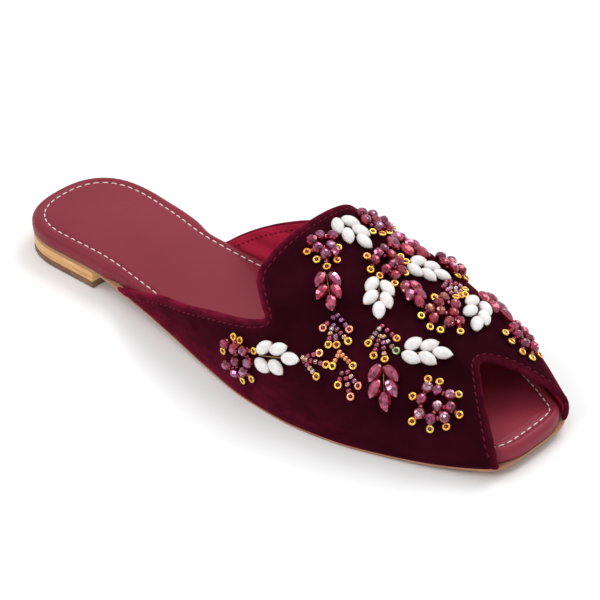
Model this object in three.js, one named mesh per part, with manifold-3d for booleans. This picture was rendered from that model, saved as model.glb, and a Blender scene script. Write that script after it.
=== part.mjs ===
// A flat peep-toe mule for the right foot, with a velvet vamp sewn with beads.
// Millimetres. X runs from heel to toe, Y towards the wearer's left, Z up from the floor.
import * as THREE from 'three';
import { mergeVertices } from 'three/addons/utils/BufferGeometryUtils.js';
import Module from 'manifold-3d';

const wasm = await Module();
wasm.setup();

// Driving sizes
const LENGTH = 250;
const HEEL_CAP = { radius: 27, power: 2.5 };
const TOE_CAP = { radius: 9, power: 4 };
const HEEL_LENGTH = 47.5;
const LIFT_HEIGHT = 2.8;
const HEEL_HEIGHT = 7.5;
const OUTSOLE_THICKNESS = 1.4;
const OUTSOLE_EDGE = 0.3;
const OUTSOLE_INSET = 0.8;
const GAP = 0.3;
const FOOTBED_THICKNESS = 5.8;
const FOOTBED_ROLL = 2.6;
const FOOTBED_ENDS = { heel: 0.5, toe: 0.6, toePower: 2.9 };
const HEEL_INSET = 0.9;
const WALL = 1.8;
const UPPER_INSET = 0.1;
const SIDE_BULGE = 1.1;

// Half widths of the last's outline, from the long axis to the outer and the inner side
const WIDTHS = [
  { x: 0, outer: 28.3, inner: 25.3 },
  { x: 27, outer: 28.6, inner: 25.4 },
  { x: 46, outer: 29.0, inner: 23.6 },
  { x: 70, outer: 32.0, inner: 20.9 },
  { x: 95, outer: 36.0, inner: 23.0 },
  { x: 120, outer: 40.8, inner: 30.0 },
  { x: 145, outer: 45.0, inner: 38.5 },
  { x: 165, outer: 46.2, inner: 43.5 },
  { x: 185, outer: 43.9, inner: 44.6 },
  { x: 205, outer: 38.6, inner: 41.6 },
  { x: 222, outer: 32.8, inner: 36.4 },
  { x: 238, outer: 26.0, inner: 28.2 },
  { x: 250, outer: 19.5, inner: 20.6 },
];

// Underside of the outsole above the floor: heel seat, arch, flat tread and toe spring
const UNDERSIDE = [
  { x: 0, z: HEEL_HEIGHT },
  { x: 48, z: HEEL_HEIGHT },
  { x: 75, z: 6.0 },
  { x: 100, z: 3.4 },
  { x: 125, z: 1.0 },
  { x: 145, z: 0 },
  { x: 190, z: 0 },
  { x: 220, z: 1.0 },
  { x: 250, z: 4.0 },
];

// How far the footbed's side is set in, so that the upper can wrap it from the wings forward
const FOOTBED_INSET = [
  { x: 0, side: 0.5 },
  { x: 54, side: 0.5 },
  { x: 62, side: 2.6 },
  { x: 205, side: 2.6 },
  { x: 238, side: 3.7 },
  { x: 250, side: 3.7 },
];

// Instep of the last: height and place of its crest, and how square each side's shoulder is
const INSTEP = [
  { x: 60, height: 80, y: 2, outerPower: 2.2, innerPower: 2.2 },
  { x: 100, height: 72, y: 3, outerPower: 2.2, innerPower: 2.2 },
  { x: 130, height: 62.5, y: 5, outerPower: 2.1, innerPower: 2.35 },
  { x: 150, height: 55, y: 6, outerPower: 2.1, innerPower: 2.55 },
  { x: 170, height: 48, y: 7, outerPower: 2.1, innerPower: 2.65 },
  { x: 195, height: 39, y: 6.5, outerPower: 2.2, innerPower: 2.5 },
  { x: 219, height: 29.5, y: 5, outerPower: 2.35, innerPower: 2.7 },
  { x: 235, height: 22.5, y: 3, outerPower: 2.5, innerPower: 3 },
  { x: 250, height: 17, y: 1, outerPower: 2.7, innerPower: 3 },
];

// Rear edge of the vamp: wings, notches and tongue. v is the share of the girth, 0 outer side, 1 inner side
const TOPLINE = [
  { v: 0, x: 63 },
  { v: 0.02, x: 70.5 },
  { v: 0.05, x: 80.5 },
  { v: 0.09, x: 93.5 },
  { v: 0.12, x: 107 },
  { v: 0.16, x: 122.5 },
  { v: 0.19, x: 136 },
  { v: 0.212, x: 144 },
  { v: 0.226, x: 147 },
  { v: 0.242, x: 144.3 },
  { v: 0.26, x: 141.5 },
  { v: 0.29, x: 137.2 },
  { v: 0.32, x: 136 },
  { v: 0.355, x: 136.5 },
  { v: 0.43, x: 138 },
  { v: 0.5, x: 139.2 },
  { v: 0.58, x: 139.7 },
  { v: 0.63, x: 139 },
  { v: 0.68, x: 138 },
  { v: 0.71, x: 139 },
  { v: 0.732, x: 142 },
  { v: 0.745, x: 143 },
  { v: 0.757, x: 139 },
  { v: 0.775, x: 129.5 },
  { v: 0.808, x: 113.7 },
  { v: 0.83, x: 106.8 },
  { v: 0.858, x: 99.3 },
  { v: 0.903, x: 89.5 },
  { v: 0.947, x: 81.2 },
  { v: 0.975, x: 76.5 },
  { v: 1, x: 71.5 },
];

// Front edge of the vamp: the peep opening, with its top a little to the outer side of the crest
const PEEP = [
  { v: 0, x: 247.5 },
  { v: 0.1, x: 246.7 },
  { v: 0.18, x: 244 },
  { v: 0.28, x: 238.5 },
  { v: 0.35, x: 233 },
  { v: 0.405, x: 228.2 },
  { v: 0.445, x: 224.5 },
  { v: 0.475, x: 221.5 },
  { v: 0.495, x: 220.6 },
  { v: 0.52, x: 221.5 },
  { v: 0.56, x: 224.7 },
  { v: 0.595, x: 228.2 },
  { v: 0.64, x: 232.5 },
  { v: 0.68, x: 236.5 },
  { v: 0.74, x: 241 },
  { v: 0.79, x: 244 },
  { v: 0.85, x: 246.3 },
  { v: 0.93, x: 247.2 },
  { v: 1, x: 247.5 },
];

// Beads as sewn: sizes, and how high their middle stands over the velvet
const BEADS = {
  crystal: { radius: 2, height: 2.8, lift: 2.05 },
  tip: { radius: 1.7, height: 1.6, lift: 1.35 },
  leaf: { length: 7.6, width: 4.6, thickness: 3.6, lift: 2.15 },
  seed: { radius: 0.95, lift: 1.4 },
};
const THREAD = 1.1;
const JOINED = 0.02;

// A sprig in its own stem's directions: along the stem, to its left, and the leaf's turn in degrees
const SPRIG = [
  { along: 3.4, left: 2.6, turn: 35 },
  { along: 2.6, left: -3.4, turn: -32 },
  { along: 9.2, left: 2.5, turn: 22 },
  { along: 8.5, left: -3.6, turn: -34 },
  { along: 14, left: -0.3, turn: 0 },
];

// Where each sprig's stem starts on the vamp, and its heading in degrees from the toe direction
const SPRIGS = [
  { node: 'white_sprig_1', x: 146, v: 0.544, heading: -5, size: 1 },
  { node: 'white_sprig_2', x: 150.4, v: 0.141, heading: 20, size: 1.1 },
  { node: 'white_sprig_3', x: 174.8, v: 0.471, heading: -52, size: 1 },
  { node: 'white_sprig_4', x: 199.2, v: 0.339, heading: 37, size: 1 },
  { node: 'white_sprig_5', x: 175.3, v: 0.578, heading: 37, size: 0.94 },
  { node: 'white_sprig_6', x: 200.8, v: 0.677, heading: -52, size: 1 },
  { node: 'red_sprig_1', x: 159.1, v: 0.397, heading: -44, size: 0.9 },
  { node: 'red_sprig_2', x: 197.3, v: 0.269, heading: -57, size: 1 },
  { node: 'red_sprig_3', x: 181.5, v: 0.523, heading: -22, size: 0.7 },
  { node: 'red_sprig_4', x: 161.9, v: 0.604, heading: 27, size: 0.95 },
  { node: 'red_sprig_5', x: 196.5, v: 0.728, heading: 8, size: 0.95 },
];

// Flowers and the star: places of the crystals and of the ring beads round them, forward and across
const FLOWERS = [
  {
    node: 'flower_1', x: 149, v: 0.473,
    crystals: [[1.2, 2.2], [-2.2, -1], [3.8, -1.8], [1, -5.8], [5.2, -6.2], [-2.8, -4.8], [7, -3]],
    tips: [[6.1, -0.1], [9.6, -4.9], [-1.3, -9.2], [3.7, -9.6], [8.6, -9.6]],
  },
  {
    node: 'flower_2', x: 140, v: 0.096,
    crystals: [[-5.2, 4], [-0.2, 4.5], [4.5, 5.8], [8, 2.8], [1.5, 0.3], [-2.5, -3.2], [6.6, -1.5], [2.2, -4.2]],
    tips: [[-2.5, 8], [1, 8.3], [8.5, 7.6], [10, -3.2], [5.4, -6.2], [-6.6, 0]],
  },
  {
    node: 'flower_3', x: 170.9, v: 0.533,
    crystals: [[-5.6, 3.2], [-1.8, 3.2], [2, 3.2], [-5, -0.6], [-3.5, -4], [2, -4], [5.8, 0.5], [6, -3.5], [2, -0.3]],
    tips: [[0.3, 6.6], [3.3, 6.3], [-7.3, -4.2], [-2, -8], [2.2, -7.6], [8.2, -5.9], [7.2, 1.6]],
  },
  {
    node: 'flower_4', x: 197.4, v: 0.536,
    crystals: [[-3.8, 3.9], [-3, 0.1], [1.2, 5], [3.4, 1.8], [7.6, 0.4], [5.5, -3.5], [-3, -4.9], [0.8, -6.8], [0.2, -2.2]],
    tips: [[-6.2, 1.6], [-3.2, -9], [2.4, -10.4], [5.8, -8.4], [10.8, -2.2]],
  },
  {
    node: 'flower_5', x: 152.5, v: 0.612,
    crystals: [[-4.7, -0.3], [-0.9, -2.8], [-3, 4], [0.9, 1.2], [4, -1], [1.5, 5.2], [5.6, 3]],
    tips: [[4.6, -4.6], [7.2, -2], [7.5, 1.7], [-7.3, 3.2], [4.6, 8]],
  },
  {
    node: 'flower_6', x: 180, v: 0.712,
    crystals: [[-3.6, -2.2], [-0.4, -4.2], [0, 0], [3.4, -2.4], [-2.6, 3.8], [1.8, 4.4], [4.6, 1.6]],
    tips: [[6.8, -2.4], [8.4, 1.2], [5.4, 6.4], [-0.6, 8.2], [-6.4, 1.6]],
  },
  {
    node: 'flower_7', x: 220, v: 0.735,
    crystals: [[-4.6, -2.6], [-6.2, 1], [-2.4, 1.8], [-1, -3], [3.2, -2.4], [1.6, 1.6], [5.6, 1]],
    tips: [[-4.2, -6.6], [0.2, -7], [5.8, -5.6], [9.4, -2.4], [8.4, 4], [2.6, 5.6], [-3.6, 5.6]],
  },
  {
    node: 'star', x: 220.4, v: 0.235,
    crystals: [[0.7, -0.6], [-2.8, 4.2], [1.8, 5.2], [5, 1], [5.2, -3.3], [1.1, -5.6], [-3.4, -5.3], [-5.6, -0.8], [-6.4, 3.6]],
    tips: [[-4.5, 8], [-8.4, 6.6], [4, 7.6], [9, 0.3], [7.4, -6.2], [2.5, -9], [-4.8, -8.6], [-9.2, -1]],
  },
];

// Sprays of small seeds: each arm runs from its first seed to the ring bead that ends it
const SPRAYS = [
  {
    node: 'seed_spray_1', x: 174.2, v: 0.294,
    arms: [
      [-2, 4, 4.8, 1.8], [-0.9, 0, 7.2, -2.3], [-0.9, -1.4, 1.4, -7], [-2.9, 2.4, -3.9, -2.7], [2, -3, 4.2, -5.6],
      [6.7, -7.5, 13.9, -9.6], [6.8, -9, 6.9, -13.2], [11.6, -14, 12.2, -18.6], [13.4, -12.6, 19.3, -15.6],
      [14, -15, 18.4, -20.6], [-5.1, -15.4, 0, -11.2], [-3.6, -15.4, 4.4, -13.8], [-4, -16.2, 2.8, -19.2],
    ],
  },
  {
    node: 'seed_spray_2', x: 191, v: 0.331,
    arms: [
      [-3.6, 4.3, 3.6, 3.6], [-0.4, 1.3, 6.6, -0.8], [0.9, -0.9, 5.2, -6], [-1.6, 0.6, 1, -6.9], [-3.8, 2.8, -3.5, -3.9],
    ],
  },
  {
    node: 'seed_spray_3', x: 192.1, v: 0.636,
    arms: [
      [-3.9, -1.4, 4.2, 1.6], [-3.1, -2.8, 3.8, -0.8], [-2.6, -4.4, 3.6, -3.6], [-3.6, 0.6, 1.6, 4.2],
    ],
  },
];

const COLOURS = {
  outsole: 0xb98a62,
  heel: 0xcf9a63,
  lift: 0x7a5a45,
  footbed: 0x8a3547,
  velvet: 0x4a0d1c,
  white: 0xefe9e2,
  red: 0xa8203f,
  purple: 0x8d5f7c,
  gold: 0xd8a23c,
};

// Value of a table's column at a place, on a smooth curve that never overshoots its rows
function smooth(table, key, column, at) {
  const last = table.length - 1;
  const t = Math.min(Math.max(at, table[0][key]), table[last][key]);
  let i = 0;
  while (i < last - 1 && t > table[i + 1][key]) i += 1;
  const step = (k) => table[k + 1][key] - table[k][key];
  const slope = (k) => (table[k + 1][column] - table[k][column]) / step(k);
  const tangent = (k) => {
    if (k === 0) return slope(0);
    if (k === last) return slope(last - 1);
    const before = slope(k - 1);
    const after = slope(k);
    if (before * after <= 0) return 0;
    const w1 = 2 * step(k) + step(k - 1);
    const w2 = step(k) + 2 * step(k - 1);
    return (w1 + w2) / (w1 / before + w2 / after);
  };
  const h = step(i);
  const s = (t - table[i][key]) / h;
  const bend = s * s * (3 - 2 * s);
  const rise = h * (tangent(i) * s * (1 - s) ** 2 - tangent(i + 1) * s * s * (1 - s));
  return table[i][column] * (1 - bend) + table[i + 1][column] * bend + rise;
}

const underside = (x) => smooth(UNDERSIDE, 'x', 'z', x);

// Share of the full half width that is left inside the round heel and the square toe
function capShare(x) {
  const heel = Math.max(0, (HEEL_CAP.radius - x) / HEEL_CAP.radius);
  const toe = Math.max(0, (x - LENGTH + TOE_CAP.radius) / TOE_CAP.radius);
  const share = (t, power) => (1 - Math.min(t, 1) ** power) ** (1 / power);
  return share(heel, HEEL_CAP.power) * share(toe, TOE_CAP.power);
}

// Y of the last's side at x, with side -1 outer and 1 inner
function sideY(x, side) {
  const outer = smooth(WIDTHS, 'x', 'outer', x);
  const inner = smooth(WIDTHS, 'x', 'inner', x);
  return (inner - outer) / 2 + (side * (inner + outer) / 2) * capShare(x);
}

// Stations of a flat outline, each with x, outer y and inner y, set in from the last's outline,
// and cut straight at cutX where that is given
function stations(inset, cutX = null) {
  const CAP_STEPS = 9;
  const MIDDLE_STEPS = cutX === null ? 20 : 4;
  const FIRST_ANGLE = 0.1;
  const toePower = inset.toePower;
  const rows = [];
  const half = (x) => (smooth(WIDTHS, 'x', 'inner', x) + smooth(WIDTHS, 'x', 'outer', x)) / 2;
  const centre = (x) => (smooth(WIDTHS, 'x', 'inner', x) - smooth(WIDTHS, 'x', 'outer', x)) / 2;
  const put = (x, share) => {
    const reach = (half(x) - inset.side(x)) * share;
    rows.push({ x, outer: centre(x) - reach, inner: centre(x) + reach });
  };
  for (let k = 0; k < CAP_STEPS; k += 1) {
    const angle = FIRST_ANGLE + ((Math.PI / 2 - FIRST_ANGLE) * k) / CAP_STEPS;
    const reach = (HEEL_CAP.radius - inset.heel) * Math.cos(angle) ** (2 / HEEL_CAP.power);
    put(HEEL_CAP.radius - reach, Math.sin(angle) ** (2 / HEEL_CAP.power));
  }
  const end = cutX === null ? LENGTH - TOE_CAP.radius : cutX;
  for (let k = 0; k <= MIDDLE_STEPS; k += 1) {
    put(HEEL_CAP.radius + ((end - HEEL_CAP.radius) * k) / MIDDLE_STEPS, 1);
  }
  if (cutX !== null) return rows;
  for (let k = CAP_STEPS - 1; k >= 0; k -= 1) {
    const angle = FIRST_ANGLE + ((Math.PI / 2 - FIRST_ANGLE) * k) / CAP_STEPS;
    const reach = (TOE_CAP.radius - inset.toe) * Math.cos(angle) ** (2 / toePower);
    put(end + reach, Math.sin(angle) ** (2 / toePower));
  }
  return rows;
}

function closedGeometry(points, faces) {
  const geometry = new THREE.BufferGeometry();
  geometry.setAttribute('position', new THREE.Float32BufferAttribute(points.flat(), 3));
  geometry.setIndex(faces.flat());
  geometry.computeVertexNormals();
  return geometry;
}

// A slab from stacked outlines: each level has its own stations and its height at x
function slab(levels) {
  const points = [];
  const faces = [];
  const count = levels[0].rows.length;
  const loop = 2 * count;
  for (const level of levels) {
    for (const row of level.rows) points.push([row.x, row.outer, level.height(row.x)]);
    for (const row of [...level.rows].reverse()) points.push([row.x, row.inner, level.height(row.x)]);
  }
  for (let k = 0; k + 1 < levels.length; k += 1) {
    for (let i = 0; i < loop; i += 1) {
      const a = k * loop + i;
      const b = k * loop + ((i + 1) % loop);
      faces.push([a, b, b + loop], [a, b + loop, a + loop]);
    }
  }
  const top = (levels.length - 1) * loop;
  for (let i = 0; i + 1 < count; i += 1) {
    const j = loop - 1 - i;
    faces.push([i, j, j - 1], [i, j - 1, i + 1]);
    faces.push([top + i, top + j - 1, top + j], [top + i, top + i + 1, top + j - 1]);
  }
  return closedGeometry(points, faces);
}

const even = (d) => ({ side: () => d, heel: d, toe: d, toePower: TOE_CAP.power });

function outsole() {
  const level = (inset, rise) => ({ rows: stations(even(inset)), height: (x) => underside(x) + rise });
  return slab([
    level(OUTSOLE_INSET + OUTSOLE_EDGE, 0),
    level(OUTSOLE_INSET, OUTSOLE_EDGE),
    level(OUTSOLE_INSET, OUTSOLE_THICKNESS),
  ]);
}

function heelPiece(bottom, top) {
  const rows = stations(even(HEEL_INSET), HEEL_LENGTH);
  return slab([{ rows, height: () => bottom }, { rows, height: () => top }]);
}

// The footbed is set in where the upper wraps it, and comes out to the edge behind the wings
function footbed() {
  const level = (extra, rise) => ({
    rows: stations({
      side: (x) => smooth(FOOTBED_INSET, 'x', 'side', x) + extra,
      heel: FOOTBED_ENDS.heel + extra,
      toe: FOOTBED_ENDS.toe + extra,
      toePower: FOOTBED_ENDS.toePower,
    }),
    height: (x) => underside(x) + OUTSOLE_THICKNESS + GAP + rise,
  });
  const shoulder = FOOTBED_THICKNESS - FOOTBED_ROLL;
  const levels = [level(0.8, 0), level(0, 1)];
  const ROLL_STEPS = 3;
  for (let k = 0; k <= ROLL_STEPS; k += 1) {
    const angle = (Math.PI / 2) * (k / ROLL_STEPS);
    levels.push(level(FOOTBED_ROLL * (1 - Math.cos(angle)), shoulder + FOOTBED_ROLL * Math.sin(angle)));
  }
  return slab(levels);
}

// Half girth of the last at x: points of a squared arch, with their distance along it
const SECTION_STEPS = 160;
const sections = new Map();
function section(x) {
  if (sections.has(x)) return sections.get(x);
  const outer = sideY(x, -1) + UPPER_INSET;
  const inner = sideY(x, 1) - UPPER_INSET;
  const base = underside(x) + OUTSOLE_THICKNESS + GAP;
  const height = smooth(INSTEP, 'x', 'height', x) - base;
  const crest = smooth(INSTEP, 'x', 'y', x);
  const powers = [smooth(INSTEP, 'x', 'outerPower', x), smooth(INSTEP, 'x', 'innerPower', x)];
  const points = [];
  let along = 0;
  for (let k = 0; k <= SECTION_STEPS; k += 1) {
    const angle = (Math.PI * k) / SECTION_STEPS;
    const onOuter = angle < Math.PI / 2;
    const power = powers[onOuter ? 0 : 1];
    const c = Math.abs(Math.cos(angle));
    const s = Math.abs(Math.sin(angle));
    const r = (c ** power + s ** power) ** (-1 / power);
    const out = c * r;
    const up = s * r;
    const reach = (onOuter ? outer : inner) - crest;
    const bulge = (onOuter ? -1 : 1) * SIDE_BULGE * 4 * up * (1 - up) * out;
    const point = { y: crest + reach * out + bulge, z: base + height * up, along: 0 };
    const before = points[k - 1];
    if (before) along += Math.hypot(point.y - before.y, point.z - before.z);
    point.along = along;
    points.push(point);
  }
  sections.set(x, points);
  return points;
}

const girth = (x) => section(x)[SECTION_STEPS].along;

// A point of the last's surface at x and girth share v
function lastPoint(x, v) {
  const points = section(x);
  const along = Math.min(Math.max(v, 0), 1) * girth(x);
  let low = 0;
  let high = SECTION_STEPS;
  while (high - low > 1) {
    const middle = (low + high) >> 1;
    if (points[middle].along <= along) low = middle;
    else high = middle;
  }
  const t = (along - points[low].along) / (points[high].along - points[low].along);
  const y = points[low].y + (points[high].y - points[low].y) * t;
  const z = points[low].z + (points[high].z - points[low].z) * t;
  return new THREE.Vector3(x, y, z);
}

// Directions on the last's surface: forward to the toe, across to the inner side, and out
function lastFrame(x, v) {
  const H = 0.6;
  const front = Math.min(x + H, LENGTH - 0.2);
  const low = Math.max(v - 0.006, 0);
  const high = Math.min(v + 0.006, 1);
  const forward = lastPoint(front, v).sub(lastPoint(x - H, v)).normalize();
  const across = lastPoint(x, high).sub(lastPoint(x, low)).normalize();
  const out = new THREE.Vector3().crossVectors(forward, across).normalize();
  return { forward, across: new THREE.Vector3().crossVectors(out, forward), out };
}

// The upper is a band of two skins, joined at the topline, the peep opening and both lower edges
function upper() {
  const ALONG_STEPS = 11;
  const EVEN_LINES = 24;
  const LEAST_STEP = 0.0115;
  const shares = new Set();
  for (const row of TOPLINE) shares.add(row.v);
  for (let k = 1; k < EVEN_LINES; k += 1) shares.add(k / EVEN_LINES);
  const lines = [...shares].sort((a, b) => a - b).filter((v, i, all) => i === 0 || v - all[i - 1] > LEAST_STEP);
  const points = [];
  const across = lines.length;
  for (const skin of [0, 1]) {
    for (const v of lines) {
      const start = smooth(TOPLINE, 'v', 'x', v);
      const end = smooth(PEEP, 'v', 'x', v);
      for (let k = 0; k <= ALONG_STEPS; k += 1) {
        const x = start + ((end - start) * k) / ALONG_STEPS;
        const point = lastPoint(x, v);
        if (skin === 1) point.addScaledVector(lastFrame(x, v).out, -WALL);
        points.push(point.toArray());
      }
    }
  }
  const row = ALONG_STEPS + 1;
  const inside = across * row;
  const faces = [];
  const quad = (a, b, c, d) => faces.push([a, b, c], [a, c, d]);
  for (let i = 0; i + 1 < across; i += 1) {
    for (let k = 0; k < ALONG_STEPS; k += 1) {
      const a = i * row + k;
      quad(a, a + 1, a + 1 + row, a + row);
      quad(inside + a, inside + a + row, inside + a + 1 + row, inside + a + 1);
    }
    const top = i * row;
    quad(top, top + row, inside + top + row, inside + top);
    const peep = top + ALONG_STEPS;
    quad(peep, inside + peep, inside + peep + row, peep + row);
  }
  const far = (across - 1) * row;
  for (let k = 0; k < ALONG_STEPS; k += 1) {
    quad(k, inside + k, inside + k + 1, k + 1);
    quad(far + k, far + k + 1, inside + far + k + 1, inside + far + k);
  }
  return closedGeometry(points, faces);
}

// A frame on the velvet at a motif's middle plus steps forward and across, lifted by height
function seat(motif, forward, across, height) {
  const stretch = lastPoint(motif.x + 1, motif.v).distanceTo(lastPoint(motif.x - 1, motif.v)) / 2;
  const x = motif.x + forward / stretch;
  const v = motif.v + across / girth(motif.x);
  const frame = lastFrame(x, v);
  return { ...frame, at: lastPoint(x, v).addScaledVector(frame.out, height) };
}

// A geometry as a solid, turned by degrees about the outward direction of its seat
function placed(geometry, frame, turn = 0) {
  const a = THREE.MathUtils.degToRad(turn);
  const ahead = frame.forward.clone().multiplyScalar(Math.cos(a)).addScaledVector(frame.across, Math.sin(a));
  const left = new THREE.Vector3().crossVectors(frame.out, ahead);
  geometry.applyMatrix4(new THREE.Matrix4().makeBasis(ahead, left, frame.out).setPosition(frame.at));
  return toSolid(geometry);
}

function toSolid(geometry) {
  geometry.deleteAttribute('normal');
  geometry.deleteAttribute('uv');
  const merged = mergeVertices(geometry, 1e-4);
  const vertProperties = new Float32Array(merged.attributes.position.array);
  const triVerts = new Uint32Array(merged.index.array);
  return new wasm.Manifold(new wasm.Mesh({ numProp: 3, vertProperties, triVerts }));
}

function fromSolid(solid) {
  const mesh = solid.getMesh();
  const geometry = new THREE.BufferGeometry();
  geometry.setAttribute('position', new THREE.BufferAttribute(new Float32Array(mesh.vertProperties), 3));
  geometry.setIndex(new THREE.BufferAttribute(new Uint32Array(mesh.triVerts), 1));
  geometry.computeVertexNormals();
  return geometry;
}

// An octahedron with one face up, scaled to its radius and height
function facetedBead(size) {
  const bead = new THREE.OctahedronGeometry(Math.sqrt(1.5), 0).rotateZ(Math.PI / 4);
  return bead.rotateX(Math.atan(Math.SQRT2)).scale(size.radius, size.radius, size.height / Math.SQRT2);
}

function leafBead() {
  const { length, width, thickness } = BEADS.leaf;
  return new THREE.SphereGeometry(0.5, 4, 3).rotateZ(Math.PI / 2).scale(length, width, thickness);
}

// A straight bar of a given width and number of sides between two points: thread or a row of seeds
function bar(from, to, width, sides) {
  const length = from.distanceTo(to);
  const geometry = new THREE.CylinderGeometry(width / 2, width / 2, length, sides).rotateX(Math.PI / 2);
  const turn = new THREE.Quaternion().setFromUnitVectors(
    new THREE.Vector3(0, 0, 1),
    to.clone().sub(from).normalize(),
  );
  const middle = from.clone().add(to).multiplyScalar(0.5);
  geometry.applyMatrix4(new THREE.Matrix4().compose(middle, turn, new THREE.Vector3(1, 1, 1)));
  return toSolid(geometry);
}

// Joins beads into one solid: each touches the nearest one already strung, or thread runs to it
function strung(beads) {
  const waiting = beads.slice(1);
  const done = [beads[0]];
  let solid = beads[0].solid;
  while (waiting.length > 0) {
    let best = { distance: Infinity };
    for (const bead of waiting) {
      for (const other of done) {
        const distance = bead.at.distanceTo(other.at);
        if (distance < best.distance) best = { distance, bead, other };
      }
    }
    solid = solid.add(best.bead.solid);
    if (best.bead.solid.intersect(best.other.solid).volume() < JOINED) {
      solid = solid.add(bar(best.other.at, best.bead.at, THREAD, 3));
    }
    done.push(best.bead);
    waiting.splice(waiting.indexOf(best.bead), 1);
  }
  return fromSolid(solid);
}

function flower(motif) {
  const beads = [];
  for (const [forward, across] of motif.crystals) {
    const frame = seat(motif, forward, across, BEADS.crystal.lift);
    beads.push({ at: frame.at, solid: placed(facetedBead(BEADS.crystal), frame) });
  }
  for (const [forward, across] of motif.tips) {
    const frame = seat(motif, forward, across, BEADS.tip.lift);
    beads.push({ at: frame.at, solid: placed(facetedBead(BEADS.tip), frame) });
  }
  return strung(beads);
}

function sprig(motif) {
  const beads = [];
  const heading = THREE.MathUtils.degToRad(motif.heading);
  for (const leaf of SPRIG) {
    const along = leaf.along * motif.size;
    const left = leaf.left * motif.size;
    const forward = along * Math.cos(heading) - left * Math.sin(heading);
    const across = along * Math.sin(heading) + left * Math.cos(heading);
    const frame = seat(motif, forward, across, BEADS.leaf.lift);
    beads.push({ at: frame.at, solid: placed(leafBead(), frame, motif.heading + leaf.turn) });
  }
  return strung(beads);
}

function spray(motif) {
  const beads = [];
  for (const [forward, across, endForward, endAcross] of motif.arms) {
    const start = seat(motif, forward, across, BEADS.seed.lift).at;
    const end = seat(motif, endForward, endAcross, BEADS.tip.lift);
    const row = bar(start, end.at, 2 * BEADS.seed.radius, 3);
    beads.push({ at: start.clone().add(end.at).multiplyScalar(0.5), solid: row.add(placed(facetedBead(BEADS.tip), end)) });
  }
  return strung(beads);
}

const group = new THREE.Group();

function addMesh(name, geometry, colour, roughness) {
  const material = new THREE.MeshStandardMaterial({ color: colour, roughness, metalness: 0 });
  const mesh = new THREE.Mesh(geometry, material);
  mesh.name = name;
  group.add(mesh);
}

addMesh('outsole', outsole(), COLOURS.outsole, 0.6);
addMesh('heel_block', heelPiece(LIFT_HEIGHT + GAP, HEEL_HEIGHT - GAP), COLOURS.heel, 0.5);
addMesh('heel_lift', heelPiece(0, LIFT_HEIGHT), COLOURS.lift, 0.7);
addMesh('footbed', footbed(), COLOURS.footbed, 0.45);
addMesh('upper', upper(), COLOURS.velvet, 0.9);
for (const motif of SPRIGS) {
  addMesh(motif.node, sprig(motif), motif.node.startsWith('white') ? COLOURS.white : COLOURS.red, 0.3);
}
for (const motif of FLOWERS) addMesh(motif.node, flower(motif), COLOURS.purple, 0.2);
for (const motif of SPRAYS) addMesh(motif.node, spray(motif), COLOURS.gold, 0.3);

// The origin is under the middle of the whole shoe's box, on the floor
const box = new THREE.Box3().setFromObject(group);
group.position.set(-(box.min.x + box.max.x) / 2, -(box.min.y + box.max.y) / 2, -box.min.z);
group.updateMatrixWorld(true);

export default group;
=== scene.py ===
import math
import random

import bpy
import numpy as np
from mathutils import Matrix, Vector
from mathutils.kdtree import KDTree


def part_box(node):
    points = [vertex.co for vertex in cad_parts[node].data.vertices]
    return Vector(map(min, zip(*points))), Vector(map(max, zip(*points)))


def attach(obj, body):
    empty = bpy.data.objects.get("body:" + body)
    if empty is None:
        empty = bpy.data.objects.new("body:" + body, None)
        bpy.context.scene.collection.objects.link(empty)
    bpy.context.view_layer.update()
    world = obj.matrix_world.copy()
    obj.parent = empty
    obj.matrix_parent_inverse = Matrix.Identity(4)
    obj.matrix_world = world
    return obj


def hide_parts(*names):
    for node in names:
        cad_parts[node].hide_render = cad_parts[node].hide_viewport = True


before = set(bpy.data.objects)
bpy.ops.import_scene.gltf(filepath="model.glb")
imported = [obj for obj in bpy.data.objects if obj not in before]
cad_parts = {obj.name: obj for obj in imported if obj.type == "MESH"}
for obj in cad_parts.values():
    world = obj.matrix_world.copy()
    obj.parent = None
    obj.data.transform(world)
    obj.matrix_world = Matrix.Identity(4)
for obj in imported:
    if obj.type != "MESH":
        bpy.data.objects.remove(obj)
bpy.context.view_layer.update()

MM = 0.001
rng = random.Random(7)

# The last, as in the part's source, in mm

# x runs from heel to toe, y to the inner side and z up. v is the share of the way over the upper,
# from 0 at the outer side's lower edge to 1 at the inner side's.

# The rounded ends of the outline: length and roundness
HEEL_CAP = (27, 2.5)
TOE_CAP = (9, 4)
LENGTH = 250
HEEL_LENGTH = 47.5
LIFT_HEIGHT = 2.8
HEEL_HEIGHT = 7.5
SOLE = 1.4
SOLE_INSET = 0.8
GAP = 0.3
BED = 5.8
ROLL = 2.6
WALL = 1.8
BULGE = 1.1
UPPER_INSET = 0.1

WIDTHS = {
    "x": [0, 27, 46, 70, 95, 120, 145, 165, 185, 205, 222, 238, 250],
    "outer": [28.3, 28.6, 29, 32, 36, 40.8, 45, 46.2, 43.9, 38.6, 32.8, 26, 19.5],
    "inner": [25.3, 25.4, 23.6, 20.9, 23, 30, 38.5, 43.5, 44.6, 41.6, 36.4, 28.2, 20.6],
}
UNDERSIDE = {"x": [0, 48, 75, 100, 125, 145, 190, 220, 250], "z": [7.5, 7.5, 6, 3.4, 1, 0, 0, 1, 4]}
# How far the footbed's edge lies inside the last, outer and inner side, and its stitched seam's line
BED_INSET = {"x": [0, 54, 62, 205, 238, 250], "outer": [0.5, 0.5, 2.6, 2.6, 3.7, 3.7]}
BED_INSET_INNER = {"x": [0, 58, 71, 205, 238, 250], "inner": [0.5, 0.5, 2.6, 2.6, 3.7, 3.7]}
SEAM_INSET = {"x": [0, 25, 120, 205, 238, 250], "side": [0.5, 0.5, 2.6, 2.6, 3.7, 3.7]}
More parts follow.
